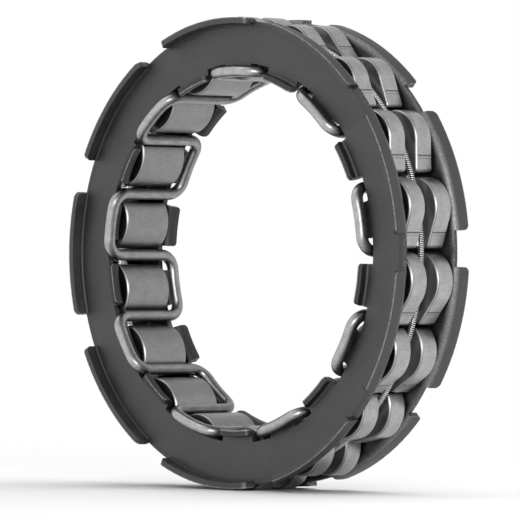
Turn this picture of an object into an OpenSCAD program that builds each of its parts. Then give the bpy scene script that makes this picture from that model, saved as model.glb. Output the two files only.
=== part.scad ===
/* [Races] */
// Diameter of the shaft that runs inside the clutch
shaft_d = 44.45; // [36:0.01:60]
// Radial gap between the shaft and the bore of the outer race
race_gap = 8.33; // [6.9:0.01:10.5]

/* [Sprags] */
// Number of sprags, an even number because the wire turns back at every second one
sprag_count = 18; // [14:2:24]
// Length of a sprag along the clutch
sprag_w = 7.5; // [6:0.1:12]
// How far a free sprag stands below the bore of the outer race
head_clear = 0.2; // [0.1:0.05:0.5]
// How far a free sprag reaches inside the surface of the shaft
foot_reach = 0.05; // [0:0.01:0.2]
// Radius of the outer cam, which bears on the outer race
outer_cam_r = 3.93; // [3.2:0.01:4.8]
// Sideways shift of the outer cam's centre, towards the heel
outer_cam_shift = 0.8; // [0.4:0.05:1.2]
// How much larger the radius of the inner cam, which bears on the shaft, is than half the foot
inner_cam_over = 1.15; // [0.8:0.05:1.6]
// Sideways shift of the inner cam's centre, towards the heel
inner_cam_shift = 0.12; // [0:0.01:0.4]
// Closest distance between the heads of two neighbouring sprags
head_gap = 0.4; // [0.3:0.05:0.8]
// Radius of the rounded toe at the low end of the head
toe_r = 0.7; // [0.5:0.05:0.9]
// Depth of the toe's centre below the top of the head
toe_drop = 2.85; // [2.5:0.05:3.2]
// Distance from the foot's heel side to the middle of the wire strand beside it
foot_gap_heel = 0.7; // [0.6:0.05:1]
// Distance from the foot's toe side to the middle of the wire strand beside it
foot_gap_toe = 1.1; // [0.8:0.05:1.4]
// Radius of the hollow that each side of the sprag has between head and foot
waist_r = 2.2; // [1.8:0.05:2.6]
// Depth of the hollow, measured in from the side of the foot
waist_cut = 0.4; // [0.2:0.05:0.6]
// Chamfer along the ends of the cams and the edges of the groove
cam_chamfer = 0.22; // [0.1:0.01:0.35]
// Width of the groove across the head, where the garter spring lies
groove_w = 1.85; // [1.2:0.05:2.6]

/* [End rings] */
// Thickness of the sheet that the end rings are pressed from
sheet_t = 0.75; // [0.6:0.05:0.9]
// Running gap between a sprag's end and the end ring beside it
end_play = 0.325; // [0.2:0.005:0.5]
// Clearance between the outer lips and the bore of the outer race
race_clear = 0.4; // [0.3:0.05:0.6]
// Height of the outer lips above the ring's face
outer_lip_h = 1.72; // [1.4:0.01:2.4]
// Height of the inner lips above the ring's face
inner_lip_h = 1; // [0.8:0.05:1.4]
// Space between neighbouring outer lips
lip_gap = 4.7; // [3:0.1:6]
// Depth of the edge between two outer lips below the outside of the lips
edge_drop = 0.44; // [0.3:0.01:0.8]
// Width of an inner lip
inner_lip_w = 5.4; // [4.5:0.1:5.6]
// Clearance between the inner lips and the shaft
shaft_clear = 0.475; // [0.3:0.005:0.7]
// Width of a flat tab, which holds a loop of the wire
tab_w = 4.75; // [4:0.05:5]
// Distance from the shaft to the edge of a tab
tab_reach = 1.025; // [0.8:0.005:1.3]
// Clearance between a strand of the wire and the bottom of the notch that it passes through
notch_clear = 0.2; // [0.1:0.05:0.5]
// Inside radius of the bend at the root of a lip
bend_in_r = 0.3; // [0.2:0.05:0.4]
// Radius of the rounded corners of an outer lip
lip_corner_r = 0.9; // [0.4:0.05:1]
// Radius of the rounded corners of an inner lip
inner_corner_r = 0.7; // [0.3:0.05:0.75]
// Angle that each end ring is turned against the wire, within its play
ring_turn = 0.5; // [0:0.1:0.8]

/* [Wire cage] */
// Diameter of the spring wire
wire_d = 1.5; // [1.2:0.05:1.7]
// Clearance between the strands and the shaft
strand_clear = 0.4; // [0.2:0.01:0.5]
// Radius of the wire's corners, on its middle line
corner_r = 1.9; // [1.5:0.05:2.3]
// Gap between a loop of the wire and the tab that it holds
loop_gap = 0.1; // [0.05:0.05:0.3]

/* [Garter spring] */
// Outside diameter of the coil
spring_od = 0.8; // [0.6:0.05:1.1]
// Depth of the coil's middle line below the top of the heads
spring_depth = 2.35; // [2.2:0.05:2.6]
// Clearance between the coil and the floor of the groove
spring_clear = 0.15; // [0.1:0.01:0.3]
// Radius of the crowned floor of the groove
floor_r = 4.6; // [3.8:0.1:5.4]

/* [Hidden] */
$fn = 96;

// How far the clutch is rolled about its axis as it stands
stand_turn = -1.5;
// Overlap between shapes that are joined or cut
over = 0.02;
// Longer than any part of the clutch
far = 60;
// Small step by which surfaces that would only touch are made to cross
inset = 0.02;
// Steps round the bends, the wire and the coil
bend_fn = 24;
wire_fn = 16;

pitch = 360 / sprag_count;
half_pitch = pitch / 2;
lip_count = sprag_count / 2;
shaft_r = shaft_d / 2;
race_r = shaft_r + race_gap;

// Profile of a sprag, drawn with x outward and y along the circle
top_r = race_r - head_clear;
cam_x = top_r - outer_cam_r;
cam_y = outer_cam_shift;
toe_x = top_r - toe_drop;
near_x = cam_x * cos(pitch) + cam_y * sin(pitch);
near_y = cam_y * cos(pitch) - cam_x * sin(pitch);
toe_span = outer_cam_r + head_gap + toe_r;
toe_y = near_y + sqrt(toe_span * toe_span - (toe_x - near_x) * (toe_x - near_x));
flat_turn = atan2(toe_y - cam_y, toe_x - cam_x);
flat_span = norm([toe_x - cam_x, toe_y - cam_y]);
flat_angle = flat_turn + acos((outer_cam_r - toe_r) / flat_span);
flat_n = [cos(flat_angle), sin(flat_angle)];
flat_a = [cam_x, cam_y] + outer_cam_r * flat_n;
flat_b = [toe_x, toe_y] + toe_r * flat_n;
flat_len = norm(flat_a - flat_b);

// Strands of the wire beside the foot
wire_r = wire_d / 2;
strand_r = shaft_r + strand_clear + wire_r;
strand_y = strand_r * sin(half_pitch);
heel_side = strand_y - foot_gap_heel;
toe_side = foot_gap_toe - strand_y;
inner_cam_r = (heel_side - toe_side) / 2 + inner_cam_over;
foot_x = shaft_r - foot_reach + inner_cam_r;
foot_y = inner_cam_shift;

// Bevelled ends of the inner cam
foot_corner = 0.15;
bevel_slope = 3;
foot_bevel = foot_corner * bevel_slope;
bevel_run = 2.1;
heel_corner_dy = heel_side - foot_corner - foot_y;
heel_corner_dx = -sqrt(inner_cam_r * inner_cam_r - heel_corner_dy * heel_corner_dy);
heel_corner_x = foot_x + heel_corner_dx;
toe_corner_dy = toe_side + foot_corner - foot_y;
toe_corner_dx = -sqrt(inner_cam_r * inner_cam_r - toe_corner_dy * toe_corner_dy);
toe_corner_x = foot_x + toe_corner_dx;

// Hollows in the two sides
waist_open = sqrt(waist_r * waist_r - (waist_r - waist_cut) * (waist_r - waist_cut));
heel_hollow = [heel_corner_x + foot_bevel + waist_open, heel_side - waist_cut + waist_r];
toe_hollow_y = toe_side + waist_cut - waist_r;
toe_hollow_span = waist_r + toe_r - 2 * inset;
toe_hollow_dy = toe_hollow_y - toe_y;
toe_hollow_x = toe_x - sqrt(toe_hollow_span * toe_hollow_span - toe_hollow_dy * toe_hollow_dy);
toe_hollow = [toe_hollow_x, toe_hollow_y];
waist_x = min(heel_hollow[0], toe_hollow_x);

// Groove and spring
spring_r = top_r - spring_depth;
spring_rod = spring_od / 2;
floor_x = spring_r - spring_rod - spring_clear - floor_r;
half_groove = groove_w / 2;

// Levels along the clutch's axis
half_w = sprag_w / 2;
sheet_in = half_w + end_play;
sheet_out = sheet_in + sheet_t;
outer_tip = sheet_out + outer_lip_h;
inner_tip = sheet_out + inner_lip_h;

// Radii and angles of the end rings
bend_out_r = bend_in_r + sheet_t;
bend_z = sheet_in + bend_out_r;
lip_r = race_r - race_clear;
edge_r = lip_r - edge_drop;
outer_root_r = lip_r - bend_out_r;
inner_lip_r = shaft_r + shaft_clear;
inner_root_r = inner_lip_r + bend_out_r;
notch_r = strand_r + wire_r + notch_clear;
tab_r = shaft_r + tab_reach;
lip_pitch = 360 / lip_count;
outer_lip_turn = lip_pitch - 2 * asin(lip_gap / 2 / lip_r);
inner_lip_turn = 2 * asin(inner_lip_w / 2 / inner_root_r);
tab_turn = 2 * asin(tab_w / 2 / notch_r);
notch_turn = (lip_pitch - inner_lip_turn - tab_turn) / 2;
lip_corner_turn = asin((lip_corner_r - 2 * inset) / lip_r);
inner_corner_turn = asin((inner_corner_r - 2 * inset) / (inner_lip_r + sheet_t));

// Wire
loop_r = sqrt(strand_r * strand_r - corner_r * corner_r);
corner_turn = atan(corner_r / loop_r);
loop_turn = pitch - 2 * corner_turn;
loop_z = sheet_out + loop_gap + wire_r;
strand_half = loop_z - corner_r;
// The wire thins by a hair in its corners, and loops run over them by a small angle
wire_step = 0.004;
wire_over = 0.05;

// The clutch is drawn with its axis along z and its front upward, then stood on its edge
module stand(turn) {
  rotate([90, 0, 0])
    rotate([0, 0, turn + stand_turn])
      children();
}

// Disc about the z axis with both of its rims chamfered
module cam_disc(r, low, high) {
  rotate_extrude()
    polygon([
      [0, low],
      [r - cam_chamfer, low],
      [r, low + cam_chamfer],
      [r, high - cam_chamfer],
      [r - cam_chamfer, high],
      [0, high]
    ]);
}

// One of the two bands that the groove leaves of the head
module band(low, high) {
  difference() {
    translate([cam_x, cam_y, 0])
      cam_disc(outer_cam_r, low, high);
    translate([waist_x - far, -far, low - 1])
      cube([far, 2 * far, high - low + 2]);
  }
  translate([toe_x, toe_y, 0])
    cam_disc(toe_r, low, high);
  translate([flat_b[0], flat_b[1], 0])
    rotate([0, 0, flat_angle])
      translate([-inset, flat_len, 0])
        rotate([90, 0, 0])
          linear_extrude(height = flat_len)
            polygon([
              [-1.5, low],
              [-cam_chamfer, low],
              [0, low + cam_chamfer],
              [0, high - cam_chamfer],
              [-cam_chamfer, high],
              [-1.5, high]
            ]);
  translate([0, 0, low])
    linear_extrude(height = high - low)
      polygon([
        [cam_x, cam_y],
        flat_a - flat_n,
        flat_b - 0.5 * flat_n,
        [toe_x, toe_y],
        toe_hollow,
        [cam_x - 1, cam_y]
      ]);
}

// What lies under the groove, with a crowned floor
module groove_floor() {
  translate([0, 0, -half_groove - 1])
    linear_extrude(height = groove_w + 2)
      intersection() {
        translate([floor_x, 0])
          circle(r = floor_r);
        translate([waist_x - 0.5, toe_side])
          square([far, heel_side - toe_side]);
      }
}

module foot() {
  intersection() {
    translate([foot_x, foot_y, 0])
      cam_disc(inner_cam_r, -half_w, half_w);
    translate([0, 0, -half_w - 1])
      linear_extrude(height = sprag_w + 2)
        polygon([
          [heel_corner_x - bevel_run, heel_side - foot_corner - bevel_run / bevel_slope],
          [heel_corner_x + foot_bevel, heel_side],
          [waist_x + 0.3, heel_side],
          [waist_x + 0.3, toe_side],
          [toe_corner_x + foot_bevel, toe_side],
          [toe_corner_x - bevel_run, toe_side + foot_corner + bevel_run / bevel_slope]
        ]);
  }
}

module side_hollow(place) {
  translate([place[0], place[1], -half_w - 1])
    cylinder(r = waist_r, h = sprag_w + 2, $fn = bend_fn * 2);
}

module sprag(place) {
  color([0.62, 0.63, 0.64])
    stand(half_pitch + (place - 1) * pitch)
      difference() {
        union() {
          band(half_groove, half_w);
          band(-half_w, -half_groove);
          groove_floor();
          foot();
        }
        side_hollow(heel_hollow);
        side_hollow(toe_hollow);
      }
}

// Quarter of the bend at a lip's root, drawn about its own centre, opening outward
module bend_2d() {
  difference() {
    intersection() {
      circle(r = bend_out_r, $fn = bend_fn);
      translate([0, -bend_out_r - over])
        square([bend_out_r + over, bend_out_r + over]);
    }
    circle(r = bend_in_r, $fn = bend_fn);
  }
}

// The pressing before its edges are cut out: a flat disc with a lip bent up at each edge
module ring_blank() {
  rotate_extrude()
    translate([inner_root_r, sheet_in])
      square([outer_root_r - inner_root_r, sheet_t]);
  rotate_extrude()
    translate([outer_root_r, bend_z])
      bend_2d();
  rotate_extrude()
    translate([lip_r - sheet_t, bend_z])
      square([sheet_t, outer_tip - bend_z]);
  rotate_extrude()
    translate([inner_root_r, bend_z])
      mirror([1, 0, 0])
        bend_2d();
  rotate_extrude()
    translate([inner_lip_r, bend_z])
      square([sheet_t, inner_tip - bend_z]);
}

// Sweep of a section about the axis, centred on an angle
module turned_piece(centre, turn) {
  rotate([0, 0, centre - turn / 2])
    rotate_extrude(angle = turn)
      children();
}

// What is cut away between two outer lips
module outer_gap() {
  turned_piece(lip_pitch / 2, lip_pitch - outer_lip_turn)
    polygon([
      [outer_root_r - 0.2, sheet_out - inset],
      [outer_root_r - 0.2, outer_tip + 1],
      [lip_r + 1, outer_tip + 1],
      [lip_r + 1, sheet_in - 1],
      [edge_r, sheet_in - 1],
      [edge_r, sheet_out - inset]
    ]);
}

// What is cut away beside an inner lip, for a strand of the wire
module notch(centre) {
  turned_piece(centre, notch_turn)
    translate([shaft_r - 1, sheet_in - 1])
      square([notch_r - shaft_r + 1, inner_tip - sheet_in + 2]);
}

// What is cut away to leave a flat tab
module tab_cut() {
  turned_piece(-half_pitch, tab_turn + notch_turn)
    polygon([
      [shaft_r - 1, sheet_in - 1],
      [tab_r, sheet_in - 1],
      [tab_r, sheet_out - inset],
      [inner_root_r + 0.2, sheet_out - inset],
      [inner_root_r + 0.2, inner_tip + 1],
      [shaft_r - 1, inner_tip + 1]
    ]);
}

// Square-cornered block with a round taken out, which rounds one corner of a lip
module corner_block(r, side) {
  difference() {
    translate([0, side > 0 ? 0 : -r - 1, 0])
      cube([3, r + 1, r + 1]);
    rotate([0, 90, 0])
      translate([0, 0, -1])
        cylinder(r = r, h = 5, $fn = bend_fn);
  }
}

module outer_corner(side) {
  rotate([0, 0, side * (outer_lip_turn / 2 - lip_corner_turn)])
    translate([outer_root_r, 0, outer_tip - lip_corner_r + 2 * inset])
      corner_block(lip_corner_r, side);
}

module inner_corner(side) {
  rotate([0, 0, half_pitch + side * (inner_lip_turn / 2 - inner_corner_turn)])
    translate([inner_lip_r - 1, 0, inner_tip - inner_corner_r + 2 * inset])
      corner_block(inner_corner_r, side);
}

module around() {
  for (k = [0 : lip_count - 1])
    rotate([0, 0, k * lip_pitch])
      children();
}

module ring_shape() {
  difference() {
    difference() {
      difference() {
        ring_blank();
        around()
          outer_gap();
      }
      around()
        tab_cut();
    }
    around()
      notch(half_pitch + (inner_lip_turn + notch_turn) / 2);
    around()
      notch(half_pitch - (inner_lip_turn + notch_turn) / 2);
    around()
      outer_corner(1);
    around()
      outer_corner(-1);
    around()
      inner_corner(1);
    around()
      inner_corner(-1);
  }
}

module front_ring() {
  color([0.33, 0.34, 0.35])
    stand(pitch - ring_turn)
      ring_shape();
}

module rear_ring() {
  color([0.33, 0.34, 0.35])
    stand(pitch + ring_turn)
      rotate([180, 0, 0])
        ring_shape();
}

// Round section of the wire, swept about a centre at distance r
module wire_arc(r, turn, section, steps) {
  rotate_extrude(angle = turn, $fn = steps)
    translate([r, 0])
      circle(r = section, $fn = wire_fn);
}

// Quarter turn between a strand and a loop, in the plane that holds the strand
module wire_corner(place, start) {
  rotate([0, 0, place])
    translate([loop_r, 0, strand_half])
      rotate([90, 0, 90])
        rotate([0, 0, start])
          wire_arc(corner_r, 90, wire_r - wire_step, wire_fn);
}

// One loop with its two corners, from the strand at -half_pitch to that at +half_pitch
module wire_loop() {
  rotate([0, 0, -loop_turn / 2 - wire_over])
    translate([0, 0, loop_z])
      wire_arc(loop_r, loop_turn + 2 * wire_over, wire_r, far);
  wire_corner(-loop_turn / 2, 90);
  wire_corner(loop_turn / 2, 0);
}

module wire_cage() {
  color([0.72, 0.73, 0.74])
    stand(0) {
      for (k = [0 : sprag_count - 1])
        rotate([0, 0, k * pitch])
          translate([strand_r, 0, -strand_half - over])
            cylinder(r = wire_r, h = 2 * (strand_half + over), $fn = wire_fn);
      for (k = [0 : lip_count - 1]) {
        rotate([0, 0, half_pitch + k * lip_pitch])
          wire_loop();
        rotate([0, 0, half_pitch + pitch + k * lip_pitch])
          rotate([180, 0, 0])
            wire_loop();
      }
    }
}

module garter_spring() {
  color([0.5, 0.5, 0.5])
    stand(0)
      rotate_extrude()
        translate([spring_r, 0])
          circle(r = spring_rod, $fn = wire_fn);
}

module sprag_01() {
  sprag(1);
}

module sprag_02() {
  sprag(2);
}

module sprag_03() {
  sprag(3);
}

module sprag_04() {
  sprag(4);
}

module sprag_05() {
  sprag(5);
}

module sprag_06() {
  sprag(6);
}

module sprag_07() {
  sprag(7);
}

module sprag_08() {
  sprag(8);
}

module sprag_09() {
  sprag(9);
}

module sprag_10() {
  sprag(10);
}

module sprag_11() {
  sprag(11);
}

module sprag_12() {
  sprag(12);
}

module sprag_13() {
  sprag(13);
}

module sprag_14() {
  sprag(14);
}

module sprag_15() {
  sprag(15);
}

module sprag_16() {
  sprag(16);
}

module sprag_17() {
  sprag(17);
}

module sprag_18() {
  sprag(18);
}

front_ring();
rear_ring();
wire_cage();
garter_spring();
sprag_01();
sprag_02();
sprag_03();
sprag_04();
sprag_05();
sprag_06();
sprag_07();
sprag_08();
sprag_09();
sprag_10();
sprag_11();
sprag_12();
sprag_13();
sprag_14();
sprag_15();
sprag_16();
sprag_17();
sprag_18();
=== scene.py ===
# %% [markdown]
# # A sprag clutch insert
# This lesson finishes one small machine part: eighteen steel sprags that rock between two
# pressed end rings. The solids come ready made from the CAD model, at their real size.
# What is left for Blender is what a solid model can't carry: the coil of the garter spring,
# the torn and rubbed edges of the pressings, and the steels themselves, with some painted
# light and shade in them.

# %% Tools and the CAD frame
import math

import bmesh
import bpy
from mathutils import Matrix, Vector


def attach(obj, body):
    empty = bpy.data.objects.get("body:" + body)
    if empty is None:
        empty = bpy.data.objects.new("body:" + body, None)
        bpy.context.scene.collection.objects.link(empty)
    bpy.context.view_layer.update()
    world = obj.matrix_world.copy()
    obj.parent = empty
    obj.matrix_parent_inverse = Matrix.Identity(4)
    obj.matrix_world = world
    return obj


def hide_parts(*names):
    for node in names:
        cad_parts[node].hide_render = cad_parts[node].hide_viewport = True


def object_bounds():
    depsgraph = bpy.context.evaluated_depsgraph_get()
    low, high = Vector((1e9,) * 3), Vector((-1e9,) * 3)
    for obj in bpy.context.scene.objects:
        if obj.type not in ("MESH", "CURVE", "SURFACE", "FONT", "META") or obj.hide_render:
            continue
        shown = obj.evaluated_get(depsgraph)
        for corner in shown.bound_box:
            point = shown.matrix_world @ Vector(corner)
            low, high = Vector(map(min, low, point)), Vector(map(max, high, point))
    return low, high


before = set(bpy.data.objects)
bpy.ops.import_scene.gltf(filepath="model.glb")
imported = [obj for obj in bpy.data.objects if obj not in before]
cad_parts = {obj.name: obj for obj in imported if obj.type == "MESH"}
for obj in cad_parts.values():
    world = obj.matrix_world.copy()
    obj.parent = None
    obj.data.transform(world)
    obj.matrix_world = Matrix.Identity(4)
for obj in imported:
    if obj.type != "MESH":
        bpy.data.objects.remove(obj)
cad_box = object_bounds()
print("CAD box in mm", [round(v * 1000, 2) for corner in cad_box for v in corner])

# %% [markdown]
# ## The camera
# The picture was taken with a long lens, nearly level with the axis, from the front right.
# Lens, distance and aim were worked out by laying the known circles of the rings over the
# picture until they all met it. A camera fixed by numbers is better here than one moved by
# eye, because every later comparison leans on it. The model stands on its feet two degrees
# further round than the pictured one, so the camera goes round by as much.

# %% Camera
STANCE_TURN = math.radians(2.2)
VIEW_TURN = math.radians(45.73)
VIEW_ROLL = math.radians(0.20)
VIEW_DISTANCE = 0.7613
SIDE_OFFSET = -0.000617
HEIGHT_OFFSET = -0.000891
PICTURE_PIXELS = 520
FOCAL_PIXELS = 5918
SENSOR_MM = 36.0

look = Vector((-math.sin(VIEW_TURN), math.cos(VIEW_TURN), 0))
right = Vector((math.cos(VIEW_TURN), math.sin(VIEW_TURN), 0))
up = Vector((0, 0, 1))
camera_data = bpy.data.cameras.new("camera")
camera_data.sensor_width = SENSOR_MM
camera_data.lens = FOCAL_PIXELS / PICTURE_PIXELS * SENSOR_MM
camera_data.clip_start = 0.01
camera_data.clip_end = 10
camera = bpy.data.objects.new("camera", camera_data)
bpy.context.collection.objects.link(camera)
rolled_right = math.cos(VIEW_ROLL) * right + math.sin(VIEW_ROLL) * up
rolled_up = -math.sin(VIEW_ROLL) * right + math.cos(VIEW_ROLL) * up
place = -VIEW_DISTANCE * look + SIDE_OFFSET * right + HEIGHT_OFFSET * up
turn = Matrix((rolled_right, rolled_up, -look)).transposed()
stance = Matrix.Rotation(STANCE_TURN, 4, "Y")
camera.matrix_world = stance @ Matrix.Translation(place) @ turn.to_4x4()
bpy.context.scene.camera = camera
print("camera at", [round(v, 4) for v in place], "lens", round(camera_data.lens, 1))

# %% [markdown]
# ## Floor
# The part stands on a pale floor that runs on without an edge, because an edge would show
# as a line behind the part. A single flat face, much larger than the part, is enough for it.
# It is turned with the camera, by the same two degrees, which leaves it touching the round
# part and level in the picture.

# %% Floor
FLOOR_HALF = 2.0
lowest = cad_box[0].z


def finished_mesh(name, maker):
    """Run maker on an empty bmesh and return the object that holds the result."""
    bm = bmesh.new()
    maker(bm)
    mesh = bpy.data.meshes.new(name)
    bm.to_mesh(mesh)
    bm.free()
    piece = bpy.data.objects.new(name, mesh)
    bpy.context.collection.objects.link(piece)
    return piece


def floor_shape(bm):
    bmesh.ops.create_grid(bm, x_segments=1, y_segments=1, size=FLOOR_HALF)
    bmesh.ops.translate(bm, vec=(0, 0, lowest), verts=bm.verts)
    bmesh.ops.rotate(bm, cent=(0, 0, 0), matrix=stance.to_3x3(), verts=bm.verts)


floor = finished_mesh("floor", floor_shape)
print("floor at", round(lowest * 1000, 2), "mm")

# %% [markdown]
# ## Small helpers for node trees
# A node tree is built from a few kinds of step over and over: some sum, a soft step from one
# value to another, a blend of two values. One helper for each keeps the materials readable,
# since each line then says what it does and not how sockets are joined.


# %% Node helpers: nodes and sums
class Net:
    """A node tree with short calls for the steps that the materials repeat."""

    def __init__(self, tree):
        self.tree = tree

    def add(self, kind, **settings):
        node = self.tree.nodes.new(kind)
        for key, value in settings.items():
            setattr(node, key, value)
        return node

    def put(self, value, socket):
        if isinstance(value, bpy.types.NodeSocket):
            self.tree.links.new(value, socket)
        else:
            socket.default_value = value

    def math(self, operation, *values):
        node = self.add("ShaderNodeMath", operation=operation)
        for value, socket in zip(values, node.inputs):
            self.put(value, socket)
        return node.outputs[0]

    def vector(self, operation, *values):
        node = self.add("ShaderNodeVectorMath", operation=operation)
        for value, socket in zip(values, node.inputs):
            self.put(value, socket)
        return node.outputs["Value" if operation in ("DOT_PRODUCT", "LENGTH") else "Vector"]

    def times(self, value, *factors):
        """The product of all the values: a mask that holds where every one of them does."""
        for factor in factors:
            value = self.math("MULTIPLY", value, factor)
        return value

    def most(self, value, *others):
        """The largest of the values: a mask that holds where any one of them does."""
        for other in others:
            value = self.math("MAXIMUM", value, other)
        return value


print("helpers for sums:", [name for name in vars(Net) if not name.startswith("_")])


# %% Node helpers: masks and tones
class SteelNet(Net):
    """Adds the soft masks that zones and wear are made of, and what they do to a tone."""

    def step(self, value, low, high, from_value=0.0, to_value=1.0):
        """Goes softly from from_value to to_value while value goes from low to high."""
        node = self.add("ShaderNodeMapRange", interpolation_type="SMOOTHSTEP")
        self.put(value, node.inputs["Value"])
        node.inputs["From Min"].default_value = low
        node.inputs["From Max"].default_value = high
        node.inputs["To Min"].default_value = from_value
        node.inputs["To Max"].default_value = to_value
        return node.outputs["Result"]

    def fade(self, value, low, high):
        """One where value is below low, and nothing from high on."""
        return self.step(value, low, high, 1, 0)

    def near(self, value, middle, half_width):
        """One where value is at middle, and nothing from half_width away."""
        apart = self.math("ABSOLUTE", self.math("SUBTRACT", value, middle))
        return self.fade(apart, 0, half_width)

    def within(self, value, low, full, falling, high):
        """One between full and falling, and nothing below low or above high."""
        return self.times(self.step(value, low, full), self.fade(value, falling, high))

    def vary(self, share, base, span):
        """base where share is nothing, and base plus span where it is one."""
        return self.math("MULTIPLY_ADD", share, span, base)

    def gain(self, tone, mask, amount):
        """The tone, brighter by amount in the mask, or darker where amount is negative."""
        return self.times(tone, self.vary(mask, base=1.0, span=amount))

    def speckle(self, tone, share, amount):
        """The tone, lighter and darker in turn with share, by amount from end to end."""
        return self.gain(tone, self.math("SUBTRACT", share, 0.5), amount)

    def blend(self, share, first, second):
        """first where share is nothing, and second where it is one."""
        node = self.add("ShaderNodeMix", data_type="FLOAT")
        for value, socket in zip((share, first, second), [s for s in node.inputs if s.enabled]):
            self.put(value, socket)
        return [s for s in node.outputs if s.enabled][0]


print("helpers for tones:", [name for name in vars(SteelNet) if not name.startswith("_")])

# %% [markdown]
# ## The floor's white
# A floor of one plain white would still meet the backdrop in a line. So it is matt near the
# part, where it takes the shadow, and fades into the backdrop's own white further out. Only
# the camera and mirrored rays see that white. It could be had with more light instead, but
# that would wash out the steel.

# %% Floor material
FLOOR_WHITE = 0.82
WHITE_RANGE = (0.075, 0.2)


def seen_rays(net):
    """One for the rays that show the backdrop itself, and the outputs that tell them apart."""
    paths = net.add("ShaderNodeLightPath").outputs
    rays = ("Is Camera Ray", "Is Glossy Ray", "Is Transmission Ray")
    return net.most(*(paths[ray] for ray in rays)), paths


floor_material = bpy.data.materials.new("pale floor")
floor_material.use_nodes = True
floor_material.node_tree.nodes.clear()
net = SteelNet(floor_material.node_tree)
matt = net.add("ShaderNodeBsdfDiffuse")
matt.inputs["Color"].default_value = (FLOOR_WHITE, FLOOR_WHITE, FLOOR_WHITE, 1)
white = net.add("ShaderNodeEmission")
seen, _ = seen_rays(net)
from_part = net.vector("LENGTH", net.add("ShaderNodeTexCoord").outputs["Object"])
mixed = net.add("ShaderNodeMixShader")
net.put(net.times(seen, net.step(from_part, *WHITE_RANGE)), mixed.inputs[0])
net.put(matt.outputs[0], mixed.inputs[1])
net.put(white.outputs[0], mixed.inputs[2])
net.put(mixed.outputs[0], net.add("ShaderNodeOutputMaterial").inputs["Surface"])
floor.data.materials.append(floor_material)
print("floor turns white between", WHITE_RANGE, "m")

# %% [markdown]
# ## The room
# Bare steel shows mostly what it mirrors, so an evenly white room would make it flat. The
# room that the steel mirrors is therefore darker from above, and darker still from below,
# which gives every round surface its shading. The camera sees it plain white, and the light
# that it throws on the part is weaker than any of these.

# %% Room
ROOM_LIGHT = 0.32
ROOM_CEILING = 0.6
ROOM_BELOW = 0.45
CEILING_HEIGHTS = (0.35, 0.95)
BELOW_HEIGHTS = (-0.6, 0.05)

world = bpy.data.worlds.new("studio")
bpy.context.scene.world = world
world.use_nodes = True
net = SteelNet(world.node_tree)
seen, paths = seen_rays(net)
direction = net.add("ShaderNodeSeparateXYZ")
net.put(net.add("ShaderNodeTexCoord").outputs["Generated"], direction.inputs[0])
height = direction.outputs[2]
from_below = net.step(height, *BELOW_HEIGHTS, ROOM_BELOW, 1.0)
from_above = net.step(height, *CEILING_HEIGHTS, 1.0, ROOM_CEILING)
mirrored = net.blend(paths["Is Glossy Ray"], 1.0, net.times(from_below, from_above))
background = world.node_tree.nodes["Background"]
background.inputs["Color"].default_value = (1, 1, 1, 1)
net.put(net.blend(seen, ROOM_LIGHT, mirrored), background.inputs["Strength"])
bpy.context.scene.view_settings.view_transform = "Standard"
print("room light", ROOM_LIGHT, "mirrored from above", ROOM_CEILING, "below", ROOM_BELOW)

# %% [markdown]
# ## Lamps
# Three soft panels stand round the part. The one beside the camera is mirrored by every small
# chamfer, and with the highlight painted along the chamfers those are the brightest lines of
# the picture. The one above rounds the heads. The third is the largest and throws the soft
# shadow on the floor. Polished steel would mirror its whole width as a flat white, so it is
# hidden from mirrored rays.


# %% Lamps
def panel(name, location, width, height, watts):
    """A rectangular soft lamp at location that faces the part."""
    data = bpy.data.lights.new(name, "AREA")
    data.shape = "RECTANGLE"
    data.size, data.size_y = width, height
    data.energy = watts
    lamp = bpy.data.objects.new(name, data)
    bpy.context.collection.objects.link(lamp)
    lamp.location = location
    lamp.rotation_euler = (-Vector(location)).to_track_quat("-Z", "Y").to_euler()
    print(name, [round(v, 2) for v in lamp.location], watts, "W")
    return lamp


by_camera = -0.62 * look + 0.12 * up
shadow_place = 0.22 * right + 0.05 * look + 0.4 * up
panel("panel beside the camera", by_camera, width=0.3, height=0.25, watts=1.6)
panel("panel above", (-0.2, -0.15, 0.5), width=0.4, height=0.4, watts=0.5)
shadow_panel = panel("panel for the shadow", shadow_place, width=0.7, height=0.7, watts=3.2)
shadow_panel.visible_glossy = False

# %% [markdown]
# ## Where a point lies on the part
# All wear and finish on this part follows its round build: rims, heads, feet and end faces
# all lie at a known radius or a known distance from the middle. So one group turns a point's
# place into those numbers in millimetres, and every material picks its zones from them:
# - Radius is the distance from the axis, and Side the distance from the middle plane.
# - Turn is the angle from the middle of the nearest sprag, in degrees.
# - Flank is one on the end faces. Outward is one where the surface faces away from the axis
#   and minus one where it faces the axis.


# %% Group helper
def new_group(name, ins, outs):
    """A shader node group with float inputs ins {name: value} and float outputs outs."""
    group = bpy.data.node_groups.new(name, "ShaderNodeTree")
    for label, value in ins.items():
        socket = group.interface.new_socket(label, in_out="INPUT", socket_type="NodeSocketFloat")
        socket.default_value = value
    for label in outs:
        group.interface.new_socket(label, in_out="OUTPUT", socket_type="NodeSocketFloat")
    net = SteelNet(group)
    print("group", name, "puts out", outs)
    return group, net, net.add("NodeGroupInput").outputs, net.add("NodeGroupOutput").inputs


# %% Group: place on the clutch
TO_MM = (1000, 1000, 1000)
ALONG_AXIS = (0, 1, 0)
SPRAG_PITCH = 20.0
FIRST_SPRAG = 8.5

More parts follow.
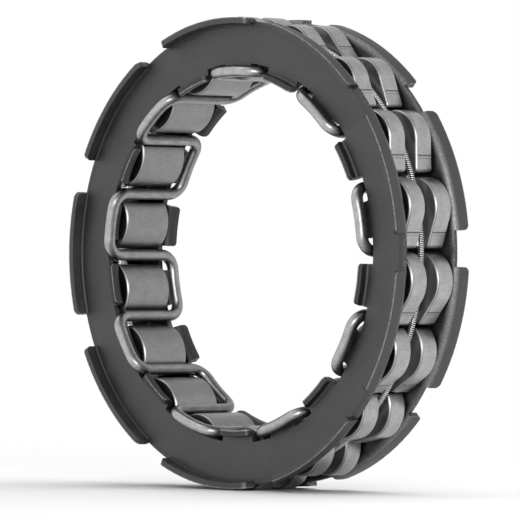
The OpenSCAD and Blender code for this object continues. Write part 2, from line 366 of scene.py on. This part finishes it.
place_outputs = ("Radius", "Side", "Turn", "Flank", "Outward")
place_group, net, _, outs = new_group("place on the clutch", {}, place_outputs)
coordinates = net.add("ShaderNodeTexCoord").outputs
apart = net.add("ShaderNodeSeparateXYZ")
net.put(net.vector("MULTIPLY", coordinates["Object"], TO_MM), apart.inputs[0])
x, y, z = apart.outputs
from_axis = net.add("ShaderNodeCombineXYZ")
net.put(x, from_axis.inputs[0])
net.put(z, from_axis.inputs[2])
net.put(net.vector("LENGTH", from_axis.outputs[0]), outs["Radius"])
net.put(net.math("ABSOLUTE", y), outs["Side"])
degrees = net.math("DEGREES", net.math("ARCTAN2", z, x))
from_edge = net.math("ADD", degrees, SPRAG_PITCH / 2 - FIRST_SPRAG)
in_pitch = net.math("FLOORED_MODULO", from_edge, SPRAG_PITCH)
net.put(net.math("SUBTRACT", in_pitch, SPRAG_PITCH / 2), outs["Turn"])
facing_side = net.vector("DOT_PRODUCT", coordinates["Normal"], ALONG_AXIS)
net.put(net.math("ABSOLUTE", facing_side), outs["Flank"])
outward = net.vector("NORMALIZE", from_axis.outputs[0])
net.put(net.vector("DOT_PRODUCT", coordinates["Normal"], outward), outs["Outward"])

# %% [markdown]
# ## The grain of worked steel
# Tumbled or rolled steel is never even. It has cloudy patches a few millimetres wide, left
# by oil and handling, and a fine grain that only shows as a slight sparkle. Two noises of
# very different size give both. The fine one, drawn out along the axis, gives scratches too.
# Each steel takes its own amount of the three.

# %% Group: worked steel
NOISE_RANGE = (0.3, 0.7)
DRAWN_OUT = (1, 0.08, 1)

grain_group, net, ins, outs = new_group(
    "worked steel", {"Patch size": 2.5, "Grain size": 0.12}, ("Patches", "Grain", "Scratches")
)
place_mm = net.vector("MULTIPLY", net.add("ShaderNodeTexCoord").outputs["Object"], TO_MM)


def spots(net, place, size_mm, detail, roughness):
    """A mask of soft spots of about size_mm."""
    node = net.add("ShaderNodeTexNoise")
    net.put(place, node.inputs["Vector"])
    net.put(net.math("DIVIDE", 1.0, size_mm), node.inputs["Scale"])
    node.inputs["Detail"].default_value = detail
    node.inputs["Roughness"].default_value = roughness
    return net.step(node.outputs["Fac"], *NOISE_RANGE)


net.put(spots(net, place_mm, ins["Patch size"], detail=4, roughness=0.6), outs["Patches"])
net.put(spots(net, place_mm, ins["Grain size"], detail=2, roughness=0.5), outs["Grain"])
drawn_mm = net.vector("MULTIPLY", place_mm, DRAWN_OUT)
net.put(spots(net, drawn_mm, ins["Grain size"], detail=2, roughness=0.5), outs["Scratches"])

# %% [markdown]
# ## One frame for four steels
# Ring, sprag, wire and spring are all bare steel. They differ in how dark, how rough and how
# worn they are, and that is worked out for each below. What they share is one metal shader,
# the place on the clutch and the grain, so a pair of functions sets those up and joins them.


# %% Steel frame
def steel(name, patch_mm, grain_mm):
    """A metal. Returns the material, its net, its shader, and the two groups' outputs."""
    material = bpy.data.materials.new(name)
    material.use_nodes = True
    net = SteelNet(material.node_tree)
    shader = material.node_tree.nodes["Principled BSDF"]
    shader.inputs["Metallic"].default_value = 1.0
    place = net.add("ShaderNodeGroup", node_tree=place_group).outputs
    worked = net.add("ShaderNodeGroup", node_tree=grain_group)
    worked.inputs["Patch size"].default_value = patch_mm
    worked.inputs["Grain size"].default_value = grain_mm
    print(name, "with patches of", patch_mm, "mm and a grain of", grain_mm, "mm")
    return material, net, shader, place, worked.outputs


def finish_steel(net, shader, tone, roughness, height, depth_mm):
    """Join a grey tone, the roughness and a bump of depth_mm to the shader."""
    grey = net.add("ShaderNodeCombineColor")
    for socket in grey.inputs:
        net.put(tone, socket)
    net.put(grey.outputs[0], shader.inputs["Base Color"])
    net.put(roughness, shader.inputs["Roughness"])
    bump = net.add("ShaderNodeBump")
    bump.inputs["Distance"].default_value = depth_mm / 1000
    net.put(height, bump.inputs["Height"])
    net.put(bump.outputs["Normal"], shader.inputs["Normal"])
    print("steel finished with", len(net.tree.nodes), "nodes and a bump of", depth_mm, "mm")


# %% [markdown]
# ## Ring steel: rolled faces
# The two rings are pressings of oiled dark sheet. Rolled faces stay dark and even. Round the
# bore a painted shade darkens them, for the shade that the wire loops and inner lips throw there.

# %% Ring steel: rolled faces
RING_TONE = 0.1
RING_VARIATION = 0.16
BORE_RADII = (22.6, 24.2)
BORE_SHADE = 0.6

ring_steel, net, shader, place, worked = steel("ring steel", patch_mm=3.0, grain_mm=0.15)
grain, patches = worked["Grain"], worked["Patches"]
side, radius = place["Side"], place["Radius"]
flank, outward = place["Flank"], place["Outward"]
tone = net.speckle(net.speckle(RING_TONE, patches, RING_VARIATION), grain, RING_VARIATION)
# painted shade round the bore, where the loops and inner lips shade the face
tone = net.times(tone, net.step(radius, *BORE_RADII, BORE_SHADE, 1.0))
print("rolled faces", RING_TONE, "round the bore", round(RING_TONE * BORE_SHADE, 3))

# %% [markdown]
# ## Ring steel: torn edges
# Where the press cut through the sheet, the edge is torn and sparkles. A cut wall is known by
# its direction: it faces neither along the axis, nor to the axis, nor away from it. The rim
# between two lips does face away from the axis, so it is picked by its radius.

# %% Ring steel: torn edges
SIDEWAYS = (0.25, 0.5)
EDGE_RADIUS, EDGE_DEPTH = 29.715, 0.06
EDGE_OUTWARD = (0.6, 0.9)
TORN_GRAIN = (0.3, 1.0)
TORN_TONES = (0.06, 0.22)

side_on = net.fade(net.math("ABSOLUTE", outward), *SIDEWAYS)
cut_wall = net.times(side_on, net.fade(flank, *SIDEWAYS))
edge_face = net.times(net.near(radius, EDGE_RADIUS, EDGE_DEPTH), net.step(outward, *EDGE_OUTWARD))
torn_tone = net.step(grain, *TORN_GRAIN, *TORN_TONES)
tone = net.blend(net.most(cut_wall, edge_face), tone, torn_tone)
print("torn edges from", TORN_TONES[0], "to", TORN_TONES[1])

# %% [markdown]
# ## Ring steel: rubbed corners with painted highlights
# Sharp corners are rubbed bright by handling, and a painted highlight is laid along them as
# well: the tips and end walls of the outer lips where they meet the outside, the inner corner
# of the rim, and the corners of the inner lips that stand nearest the bore. Each is a line
# about a tenth of a millimetre wide, and the grain breaks it into dots, as on the real part.

# %% Ring steel: rubbed corners with painted highlights
LIP_RADIUS = 30.155
LIP_TIP_SIDE = 6.545
SHEET_INNER = 4.075
LINE_START, LINE_FULL = 0.16, 0.05
INNER_LIP_RADII = (22.8, 22.92)
INNER_LIP_SIDES = (4.85, 4.95)
WEAR_AND_HIGHLIGHT_GRAIN = (0.1, 0.8)
WEAR_AND_HIGHLIGHT_LEAST = 0.25
WEAR_AND_HIGHLIGHT_TONE = 0.36

lip_outside = net.step(radius, LIP_RADIUS - LINE_START, LIP_RADIUS - LINE_FULL)
lip_tip = net.step(side, LIP_TIP_SIDE - LINE_START, LIP_TIP_SIDE - LINE_FULL)
outer_lip = net.times(lip_outside, net.most(lip_tip, side_on))
rim_corner = net.times(edge_face, net.fade(side, SHEET_INNER, SHEET_INNER + LINE_START))
inner_lip = net.times(side_on, net.fade(radius, *INNER_LIP_RADII), net.step(side, *INNER_LIP_SIDES))
dots = net.step(grain, *WEAR_AND_HIGHLIGHT_GRAIN, WEAR_AND_HIGHLIGHT_LEAST, 1.0)
# wear on the sharp corners, with a painted highlight along each of them
wear_and_highlight = net.times(net.most(outer_lip, rim_corner, inner_lip), dots)
tone = net.blend(wear_and_highlight, tone, WEAR_AND_HIGHLIGHT_TONE)
print("rubbed corners", WEAR_AND_HIGHLIGHT_TONE)

# %% [markdown]
# ## Ring steel: bends
# A sheet bent over a die curves outside and inside. The outer crown gets a painted highlight
# that sparkles a little with the grain. The inner corner of the bend gets a painted shade. The
# side of the lip that faces the axis is painted lighter, for the light it catches.

# %% Ring steel: bends
LIP_INSIDE_OUTWARD = (-0.7, -0.95)
LIP_INSIDE_RADII = (29.0, 29.3)
LIP_INSIDE_LIGHT_GAIN = 0.5
CORNER_SIDES = (4.78, 4.86, 5.1, 5.5)
CORNER_RADIUS, CORNER_HALF = 29.2, 0.35
BEND_SHADE_GAIN = -0.6
CROWN_FLANK, CROWN_HALF = 0.6, 0.55
CROWN_RADII = (29.0, 29.4)
CROWN_SIDES = (4.9, 5.2)
CROWN_OUTWARD = (0.0, 0.2)
CROWN_GRAIN = (0.5, 1.3)
CROWN_HIGHLIGHT_GAIN = 1.3

# painted light: the side of the lip that faces the axis is made lighter
lip_inside = net.step(outward, *LIP_INSIDE_OUTWARD)
lip_inside = net.times(lip_inside, net.step(radius, *LIP_INSIDE_RADII))
tone = net.gain(tone, lip_inside, LIP_INSIDE_LIGHT_GAIN)
# painted shade in the inner corner of the bend
corner = net.times(net.within(side, *CORNER_SIDES), net.near(radius, CORNER_RADIUS, CORNER_HALF))
tone = net.gain(tone, corner, BEND_SHADE_GAIN)
# painted highlight on the crown of the bend
crown = net.times(net.near(flank, CROWN_FLANK, CROWN_HALF), net.step(radius, *CROWN_RADII))
crown = net.times(crown, net.fade(side, *CROWN_SIDES), net.step(outward, *CROWN_OUTWARD))
crown = net.times(crown, net.step(grain, 0.0, 1.0, *CROWN_GRAIN))
tone = net.gain(tone, crown, CROWN_HIGHLIGHT_GAIN)
print("crown of the bend", 1 + CROWN_HIGHLIGHT_GAIN, "times as bright, its corner", 1 + BEND_SHADE_GAIN)

# %% [markdown]
# ## Ring steel: the face behind the heads
# The inner face of each ring lies between the ring and the ends of the sprags, out of reach
# of most light. Its shade is painted as a near black, which shows through the gaps between
# the heads. Towards the rim it comes back to the tone of the rolled faces.

# %% Ring steel: the face behind the heads
SHELTERED_DEPTH = 0.2
SHELTERED_FLANK = (0.8, 0.95)
SHELTERED_RADII = (27.2, 28.8)
INNER_FACE_SHADE_TONE = 0.02

# painted shade on the inner face of the ring
inner_face_shade = net.near(side, SHEET_INNER, SHELTERED_DEPTH)
inner_face_shade = net.times(inner_face_shade, net.step(flank, *SHELTERED_FLANK))
inner_face_shade = net.times(inner_face_shade, net.fade(radius, *SHELTERED_RADII))
tone = net.blend(inner_face_shade, tone, INNER_FACE_SHADE_TONE)
rough = net.vary(patches, base=0.45, span=0.1)
finish_steel(net, shader, tone, rough, height=grain, depth_mm=0.006)

# %% [markdown]
# ## Sprag steel: heads and feet
# The sprags are ground and tumbled. The two bands of the head are clean satin steel. The feet
# are darker and mottled by the oil. Both have fine scratches along the axis, since that is
# the way in which the shaped bar was drawn before the sprags were cut off it.

# %% Sprag steel: heads and feet
HEAD_RADII = (25.0, 26.5)
HEAD_TONE, FOOT_TONE = 0.41, 0.26
HEAD_MOTTLING, FOOT_MOTTLING = 0.24, 0.16
SPRAG_GRAIN = 0.22
SPRAG_SCRATCHES = 0.14

sprag_steel, net, shader, place, worked = steel("sprag steel", patch_mm=1.6, grain_mm=0.1)
grain, patches = worked["Grain"], worked["Patches"]
side, radius = place["Side"], place["Radius"]
flank, outward = place["Flank"], place["Outward"]
on_head = net.step(radius, *HEAD_RADII)
tone = net.blend(on_head, FOOT_TONE, HEAD_TONE)
tone = net.speckle(tone, patches, net.blend(on_head, FOOT_MOTTLING, HEAD_MOTTLING))
tone = net.speckle(tone, grain, SPRAG_GRAIN)
tone = net.speckle(tone, worked["Scratches"], SPRAG_SCRATCHES)
print("heads", HEAD_TONE, "feet", FOOT_TONE)

# %% [markdown]
# ## Sprag steel: painted shade, end faces and groove
# Only the cams touch the races. The sides between head and foot, which face the next sprag,
# and the deep inside are painted a near black as shade. The end faces keep the dark skin of
# the heat treatment. The groove is bright like the heads, but hardly any light gets down to it.

# %% Sprag steel: painted shade, end faces and groove
SPRAG_SIDEWAYS = (0.2, 0.5)
SIDE_SHADE_TONE = 0.06
DEEP_RADII = (23.8, 24.6, 26.8, 27.5)
DEEP_SHADE_TONE = 0.03
END_FLANK = (0.9, 0.98)
SKIN_TONE = 0.14
GROOVE_SIDES = (0.915, 0.945)
GROOVE_TONE = 0.46

# painted shade on the sides that face the next sprag
side_shade = net.fade(net.math("ABSOLUTE", outward), *SPRAG_SIDEWAYS)
tone = net.blend(side_shade, tone, SIDE_SHADE_TONE)
# painted shade deep inside the sprag
tone = net.blend(net.within(radius, *DEEP_RADII), tone, DEEP_SHADE_TONE)
tone = net.blend(net.step(flank, *END_FLANK), tone, SKIN_TONE)
in_groove = net.times(net.fade(side, *GROOVE_SIDES), on_head)
tone = net.blend(in_groove, tone, GROOVE_TONE)
print("sides", SIDE_SHADE_TONE, "deep inside", DEEP_SHADE_TONE, "end faces", SKIN_TONE)

# %% [markdown]
# ## Sprag steel: die lines
# Near the heel the drawing die left a faint double line across both bands of the head. It is
# far too shallow for a solid, so it is a dark line here, and the bump takes it as a dip. The
# two lines are placed by their angle from the middle of the sprag.

# %% Sprag steel: die lines
DIE_LINE, DIE_LINE_WIDTH = -5.55, 0.3
SECOND_LINE, SECOND_LINE_WIDTH = -6.25, 0.22
SECOND_SHARE = 0.5
BAND_RADII = (27.8, 28.2)
BAND_OUTWARD = (0.5, 0.7)
LINE_GAIN = -0.8

band = net.times(net.step(radius, *BAND_RADII), net.step(outward, *BAND_OUTWARD))
first = net.times(net.near(place["Turn"], DIE_LINE, DIE_LINE_WIDTH), band)
second = net.times(net.near(place["Turn"], SECOND_LINE, SECOND_LINE_WIDTH), band)
lines = net.most(first, net.times(second, SECOND_SHARE))
tone = net.gain(tone, lines, LINE_GAIN)
print("die lines at", DIE_LINE, "and", SECOND_LINE, "degrees")

# %% [markdown]
# ## Sprag steel: chamfers
# The ends of the cams and the edges of the groove have small chamfers, smoothed by tumbling.
# A painted highlight runs along their middles as a thin line, which outlines every head, and
# the rest of each chamfer is darker. A chamfer faces half sideways, so it is picked by its
# direction, and its middle by its place.

# %% Sprag steel: chamfers
CHAMFER_FLANK = (0.3, 0.5, 0.82, 0.92)
OUTER_CHAMFER, GROOVE_CHAMFER = 3.64, 1.04
SHINE_HALF = 0.06
CHAMFER_TONE, SHINE_HIGHLIGHT_TONE = 0.16, 0.52
GRAIN_HEIGHT = 0.25

middles = (net.near(side, middle, SHINE_HALF) for middle in (OUTER_CHAMFER, GROOVE_CHAMFER))
# painted highlight along the middle of each chamfer
chamfer_with_highlight = net.blend(net.most(*middles), CHAMFER_TONE, SHINE_HIGHLIGHT_TONE)
tone = net.blend(net.within(flank, *CHAMFER_FLANK), tone, chamfer_with_highlight)
rough = net.vary(patches, base=0.34, span=0.08)
relief = net.math("SUBTRACT", net.times(grain, GRAIN_HEIGHT), lines)
finish_steel(net, shader, tone, rough, height=relief, depth_mm=0.012)

# %% [markdown]
# ## Wire steel
# The wire of the cage is drawn bright and then oiled. The loops outside the rings are painted
# light, and so, to a lesser degree, is the side of each strand that faces the bore. The rest
# is painted dark as shade, which is what makes the wire look round.

# %% Wire steel
WIRE_SHADE_TONE, WIRE_LIGHT_TONE = 0.15, 0.46
STRAND_OUTWARD = (-0.75, -0.99)
STRAND_SHARE = 0.45
LOOP_FLANK = (0.5, 0.95)
WIRE_MOTTLING = 0.2
WIRE_SCRATCHES = 0.3

wire_steel, net, shader, place, worked = steel("wire steel", patch_mm=1.1, grain_mm=0.14)
strand = net.step(place["Outward"], *STRAND_OUTWARD, 0.0, STRAND_SHARE)
# painted light on the loops and on the strands' side that faces the bore, painted shade elsewhere
painted_lit_side = net.most(strand, net.step(place["Flank"], *LOOP_FLANK))
tone = net.blend(painted_lit_side, WIRE_SHADE_TONE, WIRE_LIGHT_TONE)
tone = net.speckle(tone, worked["Patches"], WIRE_MOTTLING)
tone = net.speckle(tone, worked["Scratches"], WIRE_SCRATCHES)
rough = net.vary(worked["Patches"], base=0.36, span=-0.08)
finish_steel(net, shader, tone, rough, height=worked["Scratches"], depth_mm=0.004)

# %% [markdown]
# ## Spring steel
# The garter spring is bright music wire, too thin to show a grain. Its wire is painted dark as
# shade where the turns face each other, and only the crest of each turn keeps the full tone.
# The crest is found by the distance from the circle that runs through the middle of the coil.

# %% Spring steel
SPRING_RADIUS = 0.028005
CREST_REACH = (0.26, 0.38)
BETWEEN_TURNS_SHADE = 0.12

spring_steel, net, shader, place, worked = steel("spring steel", patch_mm=2.5, grain_mm=0.12)
from_middle = net.add("ShaderNodeCombineXYZ")
net.put(net.math("SUBTRACT", place["Radius"], SPRING_RADIUS * 1000), from_middle.inputs[0])
net.put(place["Side"], from_middle.inputs[1])
reach = net.vector("LENGTH", from_middle.outputs[0])
# painted shade between the turns of the coil
lit_crest = net.step(reach, *CREST_REACH, BETWEEN_TURNS_SHADE, 1.0)
tone = net.times(lit_crest, net.vary(worked["Patches"], base=0.8, span=0.1))
rough = net.vary(worked["Grain"], base=0.38, span=0.1)
finish_steel(net, shader, tone, rough, height=worked["Grain"], depth_mm=0.001)

# %% [markdown]
# ## A steel for each solid
# Every solid of the CAD model has a slot for its material. Filling the slot changes the look
# alone, and leaves shape and place as the CAD model has them. Eighteen of the solids are
# sprags, so only the other four are named.

# %% A steel for each solid
OTHER_STEELS = {
    "front_ring": ring_steel,
    "rear_ring": ring_steel,
    "wire_cage": wire_steel,
    "garter_spring": spring_steel,
}

for name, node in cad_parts.items():
    for slot in node.material_slots:
        slot.material = OTHER_STEELS.get(name, sprag_steel)
print(len(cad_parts), "solids have their steel")

# %% [markdown]
# ## The garter spring: a straight coil
# The CAD model holds the spring's envelope, a plain ring. The real one is a long close coil.
# Spinning a small circle of wire with a shift on every step makes the first turns, in a
# straight line. Copying what is there beside itself, seven times over, is far quicker than
# spinning all the turns.

# %% Garter spring: a straight coil
SPRING_HALF = 0.0004
SPRING_WIRE = 0.0001
FIRST_TURNS = 5
DOUBLINGS = 7
STEPS_PER_TURN = 8
WIRE_SIDES = 5

turns = FIRST_TURNS * 2**DOUBLINGS
pitch = 2 * math.pi * SPRING_RADIUS / turns


def straight_coil(bm):
    """All turns of the coil, laid out along X."""
    upright = Matrix.Rotation(math.pi / 2, 3, "X")
    bmesh.ops.create_circle(bm, segments=WIRE_SIDES, radius=SPRING_WIRE)
    bmesh.ops.rotate(bm, verts=bm.verts, cent=(0, 0, 0), matrix=upright)
    bmesh.ops.translate(bm, verts=bm.verts, vec=(0, 0, SPRING_HALF - SPRING_WIRE))
    bmesh.ops.spin(
        bm,
        geom=bm.edges[:],
        cent=(0, 0, 0),
        axis=(1, 0, 0),
        dvec=(pitch / STEPS_PER_TURN, 0, 0),
        angle=2 * math.pi * FIRST_TURNS,
        steps=FIRST_TURNS * STEPS_PER_TURN,
        use_merge=False,
        use_duplicate=False,
    )
    for doubling in range(DOUBLINGS):
        made = bmesh.ops.duplicate(bm, geom=bm.verts[:] + bm.edges[:] + bm.faces[:])
        copied = [part for part in made["geom"] if isinstance(part, bmesh.types.BMVert)]
        bmesh.ops.translate(bm, verts=copied, vec=(pitch * FIRST_TURNS * 2**doubling, 0, 0))


print("coil of", turns, "turns,", round(pitch * 1000, 3), "mm apart")

# %% [markdown]
# ## The garter spring: bent into a ring
# On the real spring the ends of the coil are joined once it is cut to length. Here the
# straight coil is exactly as long as the circle that its middle follows, so bending it round
# brings its two ends together. Merging the vertices that meet there closes it.

# %% Garter spring: bent into a ring
MERGE_DISTANCE = 1e-6


def coil_shape(bm):
    straight_coil(bm)
    for vert in bm.verts:
        along = vert.co.x / SPRING_RADIUS
        reach = SPRING_RADIUS + vert.co.z
        vert.co = (reach * math.cos(along), vert.co.y, reach * math.sin(along))
    bmesh.ops.remove_doubles(bm, verts=bm.verts, dist=MERGE_DISTANCE)
    bmesh.ops.recalc_face_normals(bm, faces=bm.faces)
    for face in bm.faces:
        face.smooth = True
    print("open edges of the coil:", sum(not edge.is_manifold for edge in bm.edges))


spring = finished_mesh("garter_spring_coil", coil_shape)
spring.data.materials.append(spring_steel)
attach(spring, "cage")
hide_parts("garter_spring")

# %% [markdown]
